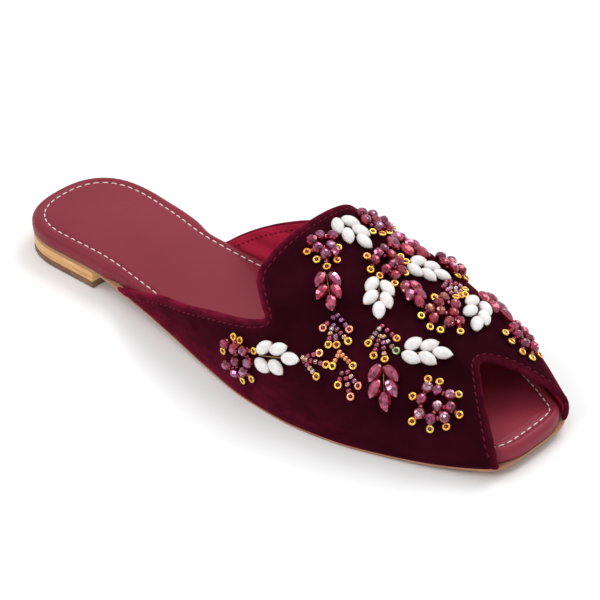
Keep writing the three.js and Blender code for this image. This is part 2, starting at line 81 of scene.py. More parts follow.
# The arches that the upper lies on: their height, the crest's y and the squareness of each side
INSTEP = {
    "x": [60, 100, 130, 150, 170, 195, 219, 235, 250],
    "height": [80, 72, 62.5, 55, 48, 39, 29.5, 22.5, 17],
    "y": [2, 3, 5, 6, 7, 6.5, 5, 3, 1],
    "outer": [2.2, 2.2, 2.1, 2.1, 2.1, 2.2, 2.35, 2.5, 2.7],
    "inner": [2.2, 2.2, 2.35, 2.55, 2.65, 2.5, 2.7, 3, 3],
}
# The upper's rear and front edge: how far ahead they lie at each v
TOPLINE = {
    "v": [0, 0.02, 0.05, 0.09, 0.12, 0.16, 0.19, 0.212, 0.226, 0.242, 0.26, 0.29, 0.32, 0.355, 0.43, 0.5,
          0.58, 0.63, 0.68, 0.71, 0.732, 0.745, 0.757, 0.775, 0.808, 0.83, 0.858, 0.903, 0.947, 0.975, 1],
    "x": [63, 70.5, 80.5, 93.5, 107, 122.5, 136, 144, 147, 144.3, 141.5, 137.2, 136, 136.5, 138, 139.2, 139.7,
          139, 138, 139, 142, 143, 139, 129.5, 113.7, 106.8, 99.3, 89.5, 81.2, 76.5, 71.5],
}
PEEP = {
    "v": [0, 0.1, 0.18, 0.28, 0.35, 0.405, 0.445, 0.475, 0.495, 0.52, 0.56, 0.595, 0.64, 0.68, 0.74, 0.79,
          0.85, 0.93, 1],
    "x": [247.5, 246.7, 244, 238.5, 233, 228.2, 224.5, 221.5, 220.6, 221.5, 224.7, 228.2, 232.5, 236.5, 241,
          244, 246.3, 247.2, 247.5],
}


def smooth(table, column, at):
    """A table's column at a place, on a smooth curve that never overshoots its rows."""
    xs = np.array(table["x" if "x" in table and column != "x" else "v"], float)
    ys = np.array(table[column], float)
    at = np.clip(np.asarray(at, float), xs[0], xs[-1])
    h = np.diff(xs)
    slope = np.diff(ys) / h
    tangent = np.zeros_like(ys)
    tangent[0], tangent[-1] = slope[0], slope[-1]
    for k in range(1, len(xs) - 1):
        if slope[k - 1] * slope[k] > 0:
            w1, w2 = 2 * h[k] + h[k - 1], h[k] + 2 * h[k - 1]
            tangent[k] = (w1 + w2) / (w1 / slope[k - 1] + w2 / slope[k])
    i = np.clip(np.searchsorted(xs, at, side="right") - 1, 0, len(xs) - 2)
    s = (at - xs[i]) / h[i]
    bend = s * s * (3 - 2 * s)
    rise = h[i] * (tangent[i] * s * (1 - s) ** 2 - tangent[i + 1] * s * s * (1 - s))
    return ys[i] * (1 - bend) + ys[i + 1] * bend + rise


def underside(x):
    """Height of the sole's underside over the floor: heel seat, arch, tread and toe spring."""
    return smooth(UNDERSIDE, "z", x)


def cap_share(x):
    """Share of the full width at x, which falls to nothing at the rounded ends."""
    heel = np.clip((HEEL_CAP[0] - x) / HEEL_CAP[0], 0, 1)
    toe = np.clip((x - LENGTH + TOE_CAP[0]) / TOE_CAP[0], 0, 1)
    return (1 - heel ** HEEL_CAP[1]) ** (1 / HEEL_CAP[1]) * (1 - toe ** TOE_CAP[1]) ** (1 / TOE_CAP[1])


def side_y(x, side):
    outer, inner = smooth(WIDTHS, "outer", x), smooth(WIDTHS, "inner", x)
    return (inner - outer) / 2 + side * (inner + outer) / 2 * cap_share(x)


# The shift from last to row comes from the outsole's box: it is widest at the ball, and its first
# point lies just ahead of its rounded end.
FIRST_POINT = 0.105
BALL = (100, 220)
sole_lo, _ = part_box("outsole")
widest = side_y(np.linspace(*BALL, 600), -1).min() + SOLE_INSET
SHIFT = np.array([sole_lo[0] / MM - (FIRST_POINT + SOLE_INSET), sole_lo[1] / MM - widest, 0])


def row(points):
    """Last frame in mm to row frame in metres."""
    return (np.asarray(points, float) + SHIFT) * MM


# The last's surface as a fine lattice

GRID_START = 60
ROWS_PER_MM = 2
GRID_X = np.linspace(GRID_START, LENGTH, (LENGTH - GRID_START) * ROWS_PER_MM + 1)
GRID_V = np.linspace(0, 1, 401)
ARCH_POINTS = 321
# Keeps a place at the far edge inside the last cell
LAST_CELL = 1.001


def lattice():
    """The velvet's surface at every x and v of the lattice, and the length of each arch."""
    angle = np.linspace(0, math.pi, ARCH_POINTS)
    x = GRID_X[:, None]
    outer = side_y(GRID_X, -1)[:, None] + UPPER_INSET
    inner = side_y(GRID_X, 1)[:, None] - UPPER_INSET
    base = underside(x) + SOLE + GAP
    height = smooth(INSTEP, "height", x) - base
    crest = smooth(INSTEP, "y", x)
    on_outer = angle[None, :] < math.pi / 2
    power = np.where(on_outer, smooth(INSTEP, "outer", x), smooth(INSTEP, "inner", x))
    c, s = np.abs(np.cos(angle))[None, :], np.abs(np.sin(angle))[None, :]
    r = (c ** power + s ** power) ** (-1 / power)
    out, up = c * r, s * r
    sign = np.where(on_outer, -1, 1)
    y = crest + (np.where(on_outer, outer, inner) - crest) * out + sign * BULGE * 4 * up * (1 - up) * out
    z = base + height * up
    step = np.hypot(np.diff(y, axis=1), np.diff(z, axis=1))
    along = np.concatenate([np.zeros((len(GRID_X), 1)), np.cumsum(step, axis=1)], axis=1)
    points = np.empty((len(GRID_X), len(GRID_V), 3))
    points[..., 0] = GRID_X[:, None]
    for k in range(len(GRID_X)):
        share = along[k] / along[k, -1]
        points[k, :, 1] = np.interp(GRID_V, share, y[k])
        points[k, :, 2] = np.interp(GRID_V, share, z[k])
    return points, along[:, -1]


SKIN, GIRTH = lattice()
AHEAD = np.gradient(SKIN, GRID_X, axis=0)
ACROSS = np.gradient(SKIN, GRID_V, axis=1)
OUT = np.cross(AHEAD, ACROSS)
OUT /= np.linalg.norm(OUT, axis=-1, keepdims=True)


def pick(field, x, v):
    """A lattice field at x and girth share v, by bilinear blending."""
    a = np.clip((np.asarray(x, float) - GRID_START) * ROWS_PER_MM, 0, len(GRID_X) - LAST_CELL)
    b = np.clip(np.asarray(v, float) * (len(GRID_V) - 1), 0, len(GRID_V) - LAST_CELL)
    i, j = a.astype(int), b.astype(int)
    s, t = (a - i)[..., None], (b - j)[..., None]
    return (
        field[i, j] * (1 - s) * (1 - t) + field[i + 1, j] * s * (1 - t)
        + field[i, j + 1] * (1 - s) * t + field[i + 1, j + 1] * s * t
    )


def girth(x):
    return np.interp(x, GRID_X, GIRTH)


def seat(motif_x, motif_v, ahead, across, lift):
    """Place and directions on the velvet at a motif's middle plus steps ahead and across."""
    stretch = np.linalg.norm(pick(AHEAD, motif_x, motif_v))
    x = motif_x + ahead / stretch
    v = motif_v + across / girth(motif_x)
    forward = Vector(pick(AHEAD, x, v)).normalized()
    out = Vector(pick(OUT, x, v)).normalized()
    side = out.cross(forward)
    at = Vector(row(pick(SKIN, x, v) + np.array(out) * lift))
    return at, (forward, side, out)


# Materials

# A Mix node's colour sockets by number, because its names stand for several types
MIX_FACTOR, MIX_A, MIX_B, MIX_RESULT = 0, 6, 7, 2


def material(name, colour, roughness, **sockets):
    m = bpy.data.materials.new(name)
    m.use_nodes = True
    shader = m.node_tree.nodes["Principled BSDF"]
    shader.inputs["Base Color"].default_value = (*colour, 1)
    shader.inputs["Roughness"].default_value = roughness
    for key, value in sockets.items():
        shader.inputs[key.replace("_", " ")].default_value = value
    return m, m.node_tree, shader


def node(tree, kind, values=None, **props):
    """A new node. Each value is set on its input, or linked to it if it is another node's socket."""
    n = tree.nodes.new("ShaderNode" + kind)
    for key, value in props.items():
        setattr(n, key, value)
    for key, value in (values or {}).items():
        if isinstance(value, bpy.types.NodeSocket):
            tree.links.new(value, n.inputs[key])
        else:
            n.inputs[key].default_value = value
    return n


def object_coords(tree, stretch, turn=0):
    coords = node(tree, "TexCoord").outputs["Object"]
    rotation = (0, 0, math.radians(turn))
    mapping = node(tree, "Mapping", {"Scale": stretch, "Rotation": rotation, "Vector": coords})
    return mapping.outputs["Vector"]


def noise(tree, scale, detail, stretch=(1, 1, 1), turn=0, rough=0.5):
    coords = object_coords(tree, stretch, turn)
    values = {"Scale": scale, "Detail": detail, "Roughness": rough, "Vector": coords}
    return node(tree, "TexNoise", values).outputs["Fac"]


def cells(tree, scale, output, stretch=(1, 1, 1), **props):
    n = node(tree, "TexVoronoi", {"Scale": scale, "Vector": object_coords(tree, stretch)}, **props)
    return n.outputs[output]


def ramp(tree, fac, stops):
    n = node(tree, "ValToRGB", {"Fac": fac})
    elements = n.color_ramp.elements
    while len(elements) < len(stops):
        elements.new(0.5)
    for element, (at, colour) in zip(elements, stops):
        element.position = at
        element.color = (*colour, 1)
    return n.outputs["Color"]


def paint(tree, shader, fac, stops):
    tree.links.new(ramp(tree, fac, stops), shader.inputs["Base Color"])


def paint_mixed(tree, shader, factor, first, second, **props):
    mix = node(tree, "Mix", {MIX_FACTOR: factor, MIX_A: first, MIX_B: second}, data_type="RGBA", **props)
    tree.links.new(mix.outputs[MIX_RESULT], shader.inputs["Base Color"])


def bump(tree, shader, height, distance, strength, after=None):
    values = {"Distance": distance, "Strength": strength, "Height": height}
    if after is not None:
        values["Normal"] = after
    normal = node(tree, "Bump", values).outputs["Normal"]
    tree.links.new(normal, shader.inputs["Normal"])
    return normal


def velvet():
    """Dark nap in broad clouds, with crimson painted sheen where the mesh's tint layer is light."""
    m, tree, shader = material(
        "velvet", (0.02, 0.002, 0.005), 0.9,
        Sheen_Weight=0.42, Sheen_Roughness=0.3, Sheen_Tint=(0.85, 0.03, 0.11, 1), Specular_IOR_Level=0.02,
    )
    nap = noise(tree, 26, 2, (1, 1.7, 1.7), rough=0.6)
    dark, middle, light = (0.012, 0.0008, 0.0028), (0.024, 0.0018, 0.006), (0.05, 0.003, 0.011)
    colour = ramp(tree, nap, [(0.3, dark), (0.55, middle), (0.8, light)])
    # The tint layer holds the painted sheen, broken into patches by noise; the crimson mixed in below is the
    # painted sheen's colour.
    painted_sheen = node(tree, "Attribute", attribute_name="tint").outputs["Fac"]
    sheen_patches = node(tree, "MapRange", {
        "From Min": 0.38, "From Max": 0.66, "To Min": 0.45, "To Max": 1.5,
        "Value": noise(tree, 95, 4, (1, 2.2, 2.2), 35, 0.7),
    })
    share = node(tree, "Math", {0: painted_sheen, 1: sheen_patches.outputs["Result"]}, operation="MULTIPLY")
    paint_mixed(tree, shader, share.outputs["Value"], colour, (0.17, 0.008, 0.027, 1))
    soft = bump(tree, shader, noise(tree, 260, 2), 0.00012, 0.5)
    bump(tree, shader, noise(tree, 2600, 2), 0.0001, 0.7, soft)
    return m


def satin():
    m, tree, shader = material(
        "satin_lining", (0.36, 0.01, 0.034), 0.4,
        Sheen_Weight=0.3, Sheen_Tint=(1, 0.2, 0.28, 1), Sheen_Roughness=0.4, Specular_IOR_Level=0.3,
    )
    wave = noise(tree, 60, 2, (1, 3, 3))
    paint(tree, shader, wave, [(0.35, (0.42, 0.013, 0.047)), (0.65, (0.66, 0.028, 0.085))])
    bump(tree, shader, noise(tree, 1800, 2, (1, 6, 6)), 0.00006, 0.6)
    return m


def leather():
    m, tree, shader = material(
        "faux_leather", (0.24, 0.027, 0.044), 0.46,
        Coat_Weight=0.03, Coat_Roughness=0.3, Specular_IOR_Level=0.15,
    )
    cloud = noise(tree, 14, 3)
    paint(tree, shader, cloud, [(0.3, (0.19, 0.017, 0.031)), (0.7, (0.243, 0.026, 0.045))])
    grain = cells(tree, 1500.0, "Distance", feature="DISTANCE_TO_EDGE")
    wrinkles = cells(tree, 260.0, "Distance", (1.8, 0.7, 1), feature="DISTANCE_TO_EDGE")
    first = bump(tree, shader, grain, 0.00009, 0.35)
    second = bump(tree, shader, noise(tree, 90, 3), 0.00025, 0.35, first)
    bump(tree, shader, wrinkles, 0.0003, 0.3, second)
    return m


def stacked_wood():
    m, tree, shader = material(
        "stacked_heel", (0.62, 0.34, 0.12), 0.42, Coat_Weight=0.25, Coat_Roughness=0.25,
    )
    grain = noise(tree, 120, 4, (0.5, 0.5, 9), rough=0.65)
    fleck = noise(tree, 900, 3, (0.35, 0.35, 3))
    mix = node(tree, "Mix", {"Factor": 0.35, "A": grain, "B": fleck}, data_type="FLOAT")
    fac = mix.outputs["Result"]
    dark, middle, light = (0.46, 0.2, 0.055), (0.66, 0.35, 0.12), (0.78, 0.47, 0.19)
    paint(tree, shader, fac, [(0.34, dark), (0.5, middle), (0.66, light)])
    bump(tree, shader, fac, 0.0001, 0.4)
    return m


def grained(name, dark, light, roughness, scale, depth):
    m, tree, shader = material(name, light, roughness, Specular_IOR_Level=0.2)
    paint(tree, shader, noise(tree, scale, 4, (1, 1, 2)), [(0.3, dark), (0.7, light)])
    bump(tree, shader, noise(tree, scale * 6, 2), depth, 0.6)
    return m


def thread(name, dark, light, gloss=0.3):
    m, tree, shader = material(name, light, 0.6, Specular_IOR_Level=gloss)
    fac = noise(tree, 2200, 2, turn=30)
    paint(tree, shader, fac, [(0.35, dark), (0.65, light)])
    bump(tree, shader, fac, 0.00012, 0.8)
    return m


def tinted(name, roughness, metallic, shades, **sockets):
    """A bead material whose colour is painted bead by bead in the mesh's own tint layer."""
    m, tree, shader = material(name, (0.5, 0.3, 0.4), roughness, Metallic=metallic, **sockets)
    tint = node(tree, "Attribute", attribute_name="tint").outputs["Color"]
    # Cells of darker and lighter colour: in glass, painted facet shade and highlight.
    lightness = node(tree, "SeparateColor", {"Color": cells(tree, 800.0, "Color")}).outputs["Red"]
    shade = ramp(tree, lightness, list(zip((0.15, 0.55, 0.85), shades)))
    paint_mixed(tree, shader, 1, tint, shade, blend_type="MULTIPLY")
    return m


VELVET = velvet()
SATIN = satin()
LEATHER = leather()
HEEL_WOOD = stacked_wood()
LIFT = grained("lift_rubber", (0.15, 0.075, 0.045), (0.26, 0.14, 0.09), 0.6, 160, 0.0001)
SOLE_TAN = grained("outsole_tan", (0.34, 0.16, 0.1), (0.48, 0.24, 0.15), 0.6, 120, 0.00008)
SEAM_RED = thread("seam_thread", (0.06, 0.003, 0.01), (0.17, 0.01, 0.028), 0.1)
SEAM_WHITE = thread("bed_thread", (0.62, 0.55, 0.52), (0.9, 0.86, 0.82))
GOLD_THREAD = thread("gold_thread", (0.35, 0.16, 0.06), (0.62, 0.38, 0.18))
# What a bead's tint is multiplied with in its dark, middle and light cells; in glass they are painted shade
# and highlight, patches standing in for facets that catch more or less light
PAINTED_FACET_SHADES = ((0.32, 0.14, 0.22), (0.66, 0.5, 0.6), (1, 1, 1))
PLAIN = ((0.9, 0.88, 0.88), (1, 1, 1), (1, 1, 1))
GLASS = tinted(
    "bead_glass", 0.1, 0.55, PAINTED_FACET_SHADES, Coat_Weight=1.0, Coat_Roughness=0.02, Transmission_Weight=0.4,
)
METAL = tinted("bead_metal", 0.18, 0.85, PLAIN, Coat_Weight=1.0, Coat_Roughness=0.04)
PEARL = tinted(
    "bead_pearl", 0.35, 0.0, PLAIN, Coat_Weight=0.6, Coat_Roughness=0.12, Subsurface_Weight=0.1,
)

# Mesh helpers


def add_object(name, data):
    obj = bpy.data.objects.new(name, data)
    bpy.context.scene.collection.objects.link(obj)
    return obj


def make(name, verts, faces, materials, replaced=(), shading=True, indices=None, tints=None):
    mesh = bpy.data.meshes.new(name)
    mesh.from_pydata([tuple(p) for p in verts], [], [tuple(f) for f in faces])
    mesh.validate()
    for m in materials:
        mesh.materials.append(m)
    if indices is not None:
        mesh.polygons.foreach_set("material_index", np.asarray(indices, np.int32))
    flags = shading if isinstance(shading, list) else [shading] * len(mesh.polygons)
    mesh.polygons.foreach_set("use_smooth", np.asarray(flags, bool))
    if tints is not None:
        layer = mesh.color_attributes.new("tint", "FLOAT_COLOR", "POINT")
        layer.data.foreach_set("color", np.asarray(tints, np.float32).ravel())
    mesh.update()
    obj = add_object(name, mesh)
    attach(obj, "root")
    if replaced:
        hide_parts(*replaced)
    return obj


def tube_faces(rings, sides, base=0):
    """Faces round a stack of rings of points and over its two ends."""
    faces = []
    for r in range(rings - 1):
        for q in range(sides):
            a, b = base + r * sides + q, base + r * sides + (q + 1) % sides
            faces.append((a, b, b + sides, a + sides))
    faces.append(tuple(base + q for q in range(sides))[::-1])
    faces.append(tuple(base + (rings - 1) * sides + q for q in range(sides)))
    return faces


def bell(d, width, power=2):
    return np.exp(-((d / width) ** power))


def rounded(d, radius):
    return np.where(d < radius, radius - np.sqrt(np.clip(radius ** 2 - (radius - d) ** 2, 0, None)), 0)


CAP_STATIONS = 26
FIRST_ANGLE = 0.03


def outline(side, heel, toe, toe_power=TOE_CAP[1], cut=None, middle=110):
    """The last's outline set in: x, outer y and inner y. The side's inset may be a function of x."""
    angle = FIRST_ANGLE + (math.pi / 2 - FIRST_ANGLE) * np.arange(CAP_STATIONS) / CAP_STATIONS
    insets = side if callable(side) else lambda x: (side, side)
    end = cut or LENGTH - TOE_CAP[0]
    xs = [HEEL_CAP[0] - (HEEL_CAP[0] - heel) * np.cos(angle) ** (2 / HEEL_CAP[1])]
    shares = [np.sin(angle) ** (2 / HEEL_CAP[1])]
    xs.append(np.linspace(HEEL_CAP[0], end, middle + 1))
    shares.append(np.ones(middle + 1))
    if cut is None:
        xs.append((end + (TOE_CAP[0] - toe) * np.cos(angle) ** (2 / toe_power))[::-1])
        shares.append((np.sin(angle) ** (2 / toe_power))[::-1])
    x, share = np.concatenate(xs), np.concatenate(shares)
    outer, inner = smooth(WIDTHS, "outer", x), smooth(WIDTHS, "inner", x)
    half, centre = (outer + inner) / 2, (inner - outer) / 2
    from_outer, from_inner = insets(x)
    return x, centre - (half - from_outer) * share, centre + (half - from_inner) * share


def loop(rows, height):
    """An outline as one closed loop of points, at one height or along a curve of heights."""
    x, outer, inner = rows
    z = height(x) if callable(height) else np.full_like(x, height)
    lower = np.stack([x, outer, z], 1)
    upper = np.stack([x, inner, z], 1)[::-1]
    return np.concatenate([lower, upper])


def loft(loops, across=1, crown=None):
    """Stacked closed loops with a floor, and a top that is divided across: points in mm and faces."""
    size = len(loops[0])
    count = size // 2
    points = [p for ring in loops for p in ring]
    faces = []
    top = (len(loops) - 1) * size
    below = top - size
    for k in range(len(loops) - 1):
        for i in range(size):
            if k * size == below and i in (count - 1, size - 1):
                continue
            a, b = k * size + i, k * size + (i + 1) % size
            faces.append((a, b, b + size, a + size))
    for i in range(count - 1):
        j = size - 1 - i
        faces.append((i, j, j - 1, i + 1))
    lines = []
    for i in range(count):
        a, b = top + i, top + size - 1 - i
        line = [a]
        for c in range(1, across):
            s = c / across
            p = np.array(points[a]) * (1 - s) + np.array(points[b]) * s
            if crown is not None:
                p[2] += crown(p[0], 2 * s - 1)
            points.append(p)
            line.append(len(points) - 1)
        lines.append(line + [b])
    # The end faces at heel and toe share every point of the divided top, so the mesh is closed
    faces.append((below + size - 1, below, *lines[0]))
    faces.append((below + count - 1, below + count, *lines[-1][::-1]))
    for first, second in zip(lines, lines[1:]):
        for c in range(across):
            faces.append((first[c], second[c], second[c + 1], first[c + 1]))
    return np.array(points), faces


# Sole, heel and footbed


SOLE_ACROSS = 6
BED_ACROSS = 26
HEEL_STATIONS = 30
BLOCK_INSET = 0.9
LIFT_INSET = 0.95
NAILED_GAP = 0.05


def build_outsole():
    # Inset and rise of each row up the edge
    edge = [
        (0.7, 0), (0.25, 0.1), (0.03, 0.4), (0, 0.7), (0, SOLE - 0.3), (0.1, SOLE - 0.1), (0.4, SOLE),
    ]
    levels = []
    for extra, rise in edge:
        inset = SOLE_INSET + extra
        levels.append(loop(outline(inset, inset, inset), lambda x, rise=rise: underside(x) + rise))
    points, faces = loft(levels, SOLE_ACROSS)
    make("outsole_sole", row(points), faces, [SOLE_TAN], ["outsole"])


def build_heel():
    def piece(name, bottom, top, mat, replaced, inset):
        edge = [
            (0.5, bottom), (0.12, bottom + 0.12), (0, bottom + 0.45),
            (0, top - 0.35), (0.1, top - 0.1), (0.35, top),
        ]
        levels = []
        for extra, z in edge:
            rows = outline(inset + extra, inset + extra, 0, cut=HEEL_LENGTH - extra, middle=HEEL_STATIONS)
            levels.append(loop(rows, z))
        points, faces = loft(levels)
        make(name, row(points), faces, [mat], replaced)

    low, high = LIFT_HEIGHT + NAILED_GAP, HEEL_HEIGHT - NAILED_GAP
    piece("heel_block_stack", low, high, HEEL_WOOD, ["heel_block"], BLOCK_INSET)
    piece("heel_top_piece", 0, LIFT_HEIGHT, LIFT, ["heel_lift"], LIFT_INSET)


STITCH_INSET = 4.8
BED_HEEL_INSET = 0.5
BED_TOE_INSET = 0.6
# The toe is squarer inside the roll than along the edge
ROLL_END = 3
EDGE_TOE_POWER = 2.9
INNER_TOE_POWER = 3.4
PUFF = {"start": 0.8, "width": 3.2, "height": 0.28}
VALLEY = {"width": 0.75, "depth": 0.42}
CUSHION = {"width": 1.6, "height": 0.16}
CROWN = {"height": 0.45, "heel": 4, "heel_fade": 20, "toe": 247, "toe_fade": 16}
# Inset and rise of each row up the footbed's side, then the insets of the rows on its top
BED_SIDE = [(1.2, 0), (0.5, 0.15), (0.12, 0.6), (0, 1.6), (0, BED - ROLL - 0.3)]
ROLL_ROWS = 11
BED_TOP = [2.85, 3.2, 3.5, 3.9, 4.2, 4.5, 4.8, 5.1, 5.4, 5.8, 6.3, 7.0, 7.8]
BED_STITCH = {"pitch": 3.75, "length": 3.05, "radius": 0.25, "sink": 0.35, "slant": 0.0}
SEAM_STITCH = {"pitch": 3.0, "length": 2.2, "radius": 0.3, "sink": 0.1, "slant": 0.12}
SEAM_STITCH_INSIDE = {"pitch": 2.7, "length": 1.9, "radius": 0.22, "sink": 0.2, "slant": -0.12}


def bed_outline(extra):
    """The footbed's outline set in by extra: it runs over into the smoother line of the stitched seam."""
    share = min(1, max(0, (extra - ROLL) / (STITCH_INSET - ROLL)))

    def side(x):
        seam = smooth(SEAM_INSET, "side", x) * share + extra
        return (
            smooth(BED_INSET, "outer", x) * (1 - share) + seam,
            smooth(BED_INSET_INNER, "inner", x) * (1 - share) + seam,
        )

    toe_power = EDGE_TOE_POWER if extra < ROLL_END else INNER_TOE_POWER
    return outline(side, BED_HEEL_INSET + extra, BED_TOE_INSET + extra, toe_power)


def bed_dip(extra):
    """Height of the cover at a distance from its edge: rolled edge, a stitched valley, a soft cushion."""
    d = np.asarray(extra, float)
    puff = PUFF["height"] * np.sin(np.clip(d - PUFF["start"], 0, PUFF["width"]) / PUFF["width"] * math.pi)
    valley = -VALLEY["depth"] * bell(d - STITCH_INSET, VALLEY["width"])
    inner = CUSHION["height"] * (1 - np.exp(-np.clip(d - STITCH_INSET, 0, None) / CUSHION["width"]))
    return -rounded(d, ROLL) + puff + valley + inner


def bed_loop(extra):
    return loop(bed_outline(extra), lambda x: underside(x) + SOLE + GAP + BED + bed_dip(extra))


def build_footbed():
    levels = []
    for extra, rise in BED_SIDE:
        levels.append(loop(bed_outline(extra), lambda x, rise=rise: underside(x) + SOLE + GAP + rise))
    roll = [ROLL * (1 - math.cos(math.pi / 2 * k / ROLL_ROWS)) for k in range(1, ROLL_ROWS + 1)]
    levels += [bed_loop(extra) for extra in roll + BED_TOP]

    def crown(x, s):
        hump = CROWN["height"] * (1 - s * s)
        at_heel = min(1, max(0, (x - CROWN["heel"]) / CROWN["heel_fade"]))
        at_toe = min(1, max(0, (CROWN["toe"] - x) / CROWN["toe_fade"]))
        return hump * at_heel * at_toe

    points, faces = loft(levels, BED_ACROSS, crown)
    obj = make("footbed_cover", row(points), faces, [LEATHER], ["footbed"])


SHORTEST_STITCH = 0.4


def stitches(path, normals, mat, name, slot, pitch, length, radius, sink, slant):
    """Short sunk thread capsules along a path of points in mm with outward normals."""
    path, normals = np.asarray(path, float), np.asarray(normals, float)
    step = np.linalg.norm(np.diff(path, axis=0), axis=1)
    along = np.concatenate([[0], np.cumsum(step)])
    count = max(2, int(along[-1] / pitch))
    verts, faces = [], []
    sides, rings = 8, 5

    def pick_at(rows, at):
        return np.array([np.interp(at, along, rows[:, c]) for c in range(3)])

    for k in range(count):
        mid = (k + 0.5) * along[-1] / count
        ends = [pick_at(path, np.clip(mid + side * length, 0, along[-1])) for side in (-0.5, 0.5)]
        up = pick_at(normals, mid)
        up /= np.linalg.norm(up)
        direction = ends[1] - ends[0]
        span = np.linalg.norm(direction)
        if span < SHORTEST_STITCH * length:
            continue
        direction /= span
        cross = np.cross(up, direction)
        cross /= np.linalg.norm(cross)
        direction = direction + cross * slant
        middle = (ends[0] + ends[1]) / 2
        base = len(verts)
        for r in range(rings):
            s = r / (rings - 1) * 2 - 1
            width = radius * math.sqrt(max(0.0, 1 - (abs(s) ** 3)) + 0.06)
            rise = radius * (1 - sink) - radius * 1.1 * abs(s) ** 4
            centre = middle + direction * (span / 2) * s + up * rise
            for q in range(sides):
                a = 2 * math.pi * q / sides
                verts.append(centre + cross * (width * math.cos(a)) + up * (width * 0.8 * math.sin(a)))
        faces += tube_faces(rings, sides, base)
    make(name, row(verts), faces, [mat])


def build_bed_stitches():
    ring = bed_loop(STITCH_INSET)
    ring = np.concatenate([ring, ring[:1]])
    up = np.tile([0.0, 0.0, 1.0], (len(ring), 1))
    stitches(ring, up, SEAM_WHITE, "footbed_stitching", "footbed", **BED_STITCH)


# The velvet upper

RIM = WALL / 2
SEAM = 3.1
SEAM_DEPTH = 0.22
TO_SOLE = 0.5
FOLD = 0.32
GROOVE = 0.3
TUCK = 0.55
# Rows across an edge and over the body, and where the topline's two notches need closer columns
EDGE_ROWS = 13
BODY_ROWS = 62
COLUMNS = 300
NOTCHES = ((0.205, 0.25), (0.725, 0.765))
NOTCH_COLUMNS = 26
VELVET_BACK = 4
EDGE_REACH = 4.6
MOST_REACH = 0.28
EDGE_POWER = 1.8
SEAM_ENDS = (0.004, 0.996)
SEAM_SPARE = 0.25

# Creases from one place to another, in the velvet's own x and v
CREASES = [
    {"x": 150, "v": 0.205, "to_x": 166, "to_v": 0.12, "width": 3.0, "depth": 0.35},
    {"x": 152, "v": 0.22, "to_x": 172, "to_v": 0.17, "width": 2.6, "depth": -0.22},
    {"x": 150, "v": 0.77, "to_x": 170, "to_v": 0.86, "width": 3.0, "depth": 0.3},
    {"x": 226, "v": 0.44, "to_x": 205, "to_v": 0.3, "width": 4.0, "depth": 0.25},
    {"x": 226, "v": 0.58, "to_x": 208, "to_v": 0.72, "width": 4.0, "depth": 0.25},
    {"x": 100, "v": 0.05, "to_x": 140, "to_v": 0.045, "width": 2.4, "depth": 0.25},
]


def edge_line(table):
    v = np.linspace(0, 1, 1600)
    return smooth(table, "x", v), v


EDGES = {"topline": edge_line(TOPLINE), "peep": edge_line(PEEP)}


def tree_of(x, v):
    points = pick(SKIN, x, v)
    tree = KDTree(len(points))
    for k, p in enumerate(points):
        tree.insert(p, k)
    tree.balance()
    return tree


TREES = {key: tree_of(*line) for key, line in EDGES.items()}


def edge_distance(points):
    out = np.empty(len(points))
    for k, p in enumerate(points):
        out[k] = min(TREES["topline"].find(p)[2], TREES["peep"].find(p)[2])
    return out


def crease_depth(x, v, g):
    total = np.zeros_like(x)
    for c in CREASES:
        dx, ds = c["to_x"] - c["x"], (c["to_v"] - c["v"]) * g
        px, ps = x - c["x"], (v - c["v"]) * g
        length2 = dx * dx + ds * ds
        t = np.clip((px * dx + ps * ds) / length2, 0, 1)
        gap = np.hypot(px - t * dx, ps - t * ds)
        fade = np.sin(np.clip(t, 0.02, 0.98) * math.pi) ** 0.6
        total -= c["depth"] * fade * bell(gap, c["width"])
    return total


def relief(x, v, d, low, g, rim):
    """Height of the velvet over the last: fold, sewn groove, tucked lower edge, waves and creases."""
    fold = FOLD * np.clip((SEAM + 0.2 - d) / 0.8, 0, 1) * np.clip(d / 0.8, 0, 1)
    groove = -GROOVE * bell(d - SEAM, 0.5)
    tuck = -TUCK * np.clip(1 - low / 2.2, 0, 1) ** 2
    wave = 0.13 * np.sin(x / 7.3 + v * 19) * np.sin(v * 27 - x / 11.0) + 0.08 * np.sin(x / 4.1 - v * 33)
    calm = np.clip(d / 8, 0, 1) * np.clip(low / 8, 0, 1)
    return fold - rim + groove + tuck + (wave + crease_depth(x, v, g)) * calm


def painted_sheen_share(x, d, low):
    """Share of crimson painted sheen: at the edges, less at the toe, and low on the flanks."""
    flank = np.exp(-low / 11) * np.clip((215 - x) / 70, 0, 1)
    edge = 0.5 * bell(d, 1.3) + 0.3 * bell(d, 3.4, 4)
    away_from_toe = 0.45 + 0.55 * np.clip((200 - x) / 40, 0, 1)
    return np.clip(edge * away_from_toe + 0.6 * flank, 0, 1)


